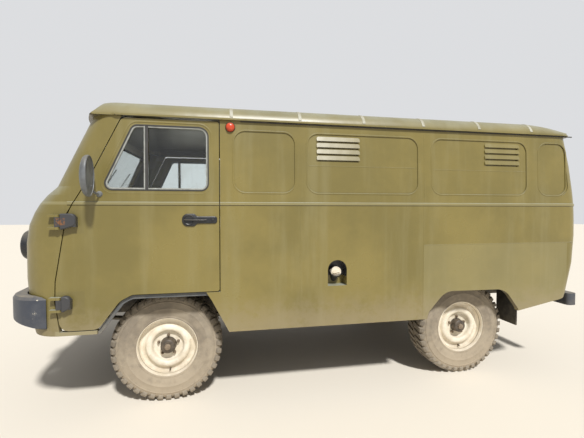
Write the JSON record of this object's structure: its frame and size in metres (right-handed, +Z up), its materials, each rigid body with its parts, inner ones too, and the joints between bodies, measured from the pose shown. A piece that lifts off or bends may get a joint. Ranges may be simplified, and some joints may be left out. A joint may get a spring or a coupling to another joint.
{
  "type": "military ambulance van, cab-over four-wheel-drive",
  "caption": "Olive cab-over four-wheel-drive military ambulance van with blank pressed side panels, two front doors, a side door and double rear doors.",
  "frame": {"origin": "on the ground, at the middle of the bounding box", "axes": "+X to the rear, +Y to the vehicle's right, +Z up"},
  "size_m": [4.3648, 2.352, 2.09],
  "materials": {
    "body_paint": "faded semi-gloss olive paint",
    "floor_paint": "worn grey-green paint",
    "chassis_paint": "dusty black paint",
    "bumper_paint": "dark blue-black paint",
    "wheel_paint": "cream paint, chipped",
    "cast_metal": "oily cast metal",
    "exhaust_steel": "rusty steel",
    "glass": "clear glass",
    "lamp_glass": "lamp bowl behind glass",
    "lamp_lens": "orange-red lens",
    "black_plastic": "black plastic and dark painted metal",
    "seat_cloth": "dark leathercloth",
    "flap_rubber": "dusty black rubber",
    "tyre": "dusty tyre rubber"
  },
  "bodies": {
    "root": {"side_wall_left": "body_paint", "side_wall_right": "body_paint", "rear_frame": "body_paint", "roof": "body_paint", "nose": "body_paint", "partition": "body_paint", "floor_pan": "floor_paint", "wheel_houses": "floor_paint", "engine_cover": "floor_paint", "dashboard": "floor_paint", "chassis_frame": "chassis_paint", "leaf_springs": "chassis_paint", "front_axle": "chassis_paint", "rear_axle": "chassis_paint", "tow_eyes": "chassis_paint", "fuel_tanks": "chassis_paint", "steering_gear": "chassis_paint", "bumpers": "bumper_paint", "engine": "cast_metal", "driveline": "cast_metal", "exhaust": "exhaust_steel", "windscreen_glass": "glass", "seats": "seat_cloth", "wipers": "black_plastic", "headlamps": "lamp_glass", "marker_lamps": "lamp_lens", "mud_flaps": "flap_rubber"},
    "door_front_left": {"door_front_left_panel": "body_paint", "door_front_left_glass": "glass", "door_front_left_fittings": "black_plastic"},
    "door_front_right": {"door_front_right_panel": "body_paint", "door_front_right_glass": "glass", "door_front_right_fittings": "black_plastic"},
    "door_side": {"door_side_panel": "body_paint", "door_side_handle": "black_plastic"},
    "door_rear_left": {"door_rear_left_panel": "body_paint", "door_rear_left_glass": "glass"},
    "door_rear_right": {"door_rear_right_panel": "body_paint", "door_rear_right_glass": "glass", "door_rear_handle": "black_plastic"},
    "knuckle_left": {"knuckle_left": "chassis_paint"},
    "knuckle_right": {"knuckle_right": "chassis_paint"},
    "tie_rod": {"tie_rod": "chassis_paint"},
    "steering_wheel": {"steering_wheel": "black_plastic"},
    "roadwheel_front_left": {"tyre_front_left": "tyre", "wheel_front_left": "wheel_paint"},
    "roadwheel_front_right": {"tyre_front_right": "tyre", "wheel_front_right": "wheel_paint"},
    "roadwheel_rear_left": {"tyre_rear_left": "tyre", "wheel_rear_left": "wheel_paint"},
    "roadwheel_rear_right": {"tyre_rear_right": "tyre", "wheel_rear_right": "wheel_paint"}
  },
  "joints": [
    {"name": "front_left_door_swing", "type": "hinge", "parent": "root", "child": "door_front_left", "pos_m": [-1.815, -0.99, 1.007], "axis": [0, 0, -1], "range_deg": [0, 70]},
    {"name": "front_right_door_swing", "type": "hinge", "parent": "root", "child": "door_front_right", "pos_m": [-1.815, 0.99, 1.007], "axis": [0, 0, 1], "range_deg": [0, 70]},
    {"name": "side_door_swing", "type": "hinge", "parent": "root", "child": "door_side", "pos_m": [-0.778, 0.99, 1.007], "axis": [0, 0, 1], "range_deg": [0, 90]},
    {"name": "rear_left_door_swing", "type": "hinge", "parent": "root", "child": "door_rear_left", "pos_m": [2.138, -0.71, 1.22], "axis": [0, 0, -1], "range_deg": [0, 105]},
    {"name": "rear_right_door_swing", "type": "hinge", "parent": "root", "child": "door_rear_right", "pos_m": [2.138, 0.71, 1.22], "axis": [0, 0, 1], "range_deg": [0, 105]},
    {"name": "steer_left", "type": "hinge", "parent": "root", "child": "knuckle_left", "pos_m": [-1.2025, -0.598, 0.377], "axis": [0, 0, 1], "range_deg": [-27, 27]},
    {"name": "steer_right", "type": "hinge", "parent": "root", "child": "knuckle_right", "pos_m": [-1.2025, 0.598, 0.377], "axis": [0, 0, 1], "range_deg": [-27, 27]},
    {"name": "tie_rod_turn", "type": "hinge", "parent": "knuckle_left", "child": "tie_rod", "pos_m": [-1.3925, -0.598, 0.33], "axis": [0, 0, 1], "range_deg": [-27, 27]},
    {"name": "steering_wheel_turn", "type": "hinge", "parent": "root", "child": "steering_wheel", "pos_m": [-1.6, -0.43, 1.27], "axis": [0.4314, -0.0563, 0.9004], "range_deg": [-540, 540]},
    {"name": "front_left_wheel_roll", "type": "hinge", "parent": "knuckle_left", "child": "roadwheel_front_left", "pos_m": [-1.2025, -0.7225, 0.377], "axis": [0, 1, 0], "continuous": true},
    {"name": "front_right_wheel_roll", "type": "hinge", "parent": "knuckle_right", "child": "roadwheel_front_right", "pos_m": [-1.2025, 0.7225, 0.377], "axis": [0, 1, 0], "continuous": true},
    {"name": "rear_left_wheel_roll", "type": "hinge", "parent": "root", "child": "roadwheel_rear_left", "pos_m": [1.0975, -0.7225, 0.377], "axis": [0, 1, 0], "continuous": true},
    {"name": "rear_right_wheel_roll", "type": "hinge", "parent": "root", "child": "roadwheel_rear_right", "pos_m": [1.0975, 0.7225, 0.377], "axis": [0, 1, 0], "continuous": true}
  ],
  "couplings": [
    {"joint": "steer_right", "follows": "steer_left", "ratio": 1},
    {"joint": "tie_rod_turn", "follows": "steer_left", "ratio": -1},
    {"joint": "steering_wheel_turn", "follows": "steer_left", "ratio": 20}
  ]
}
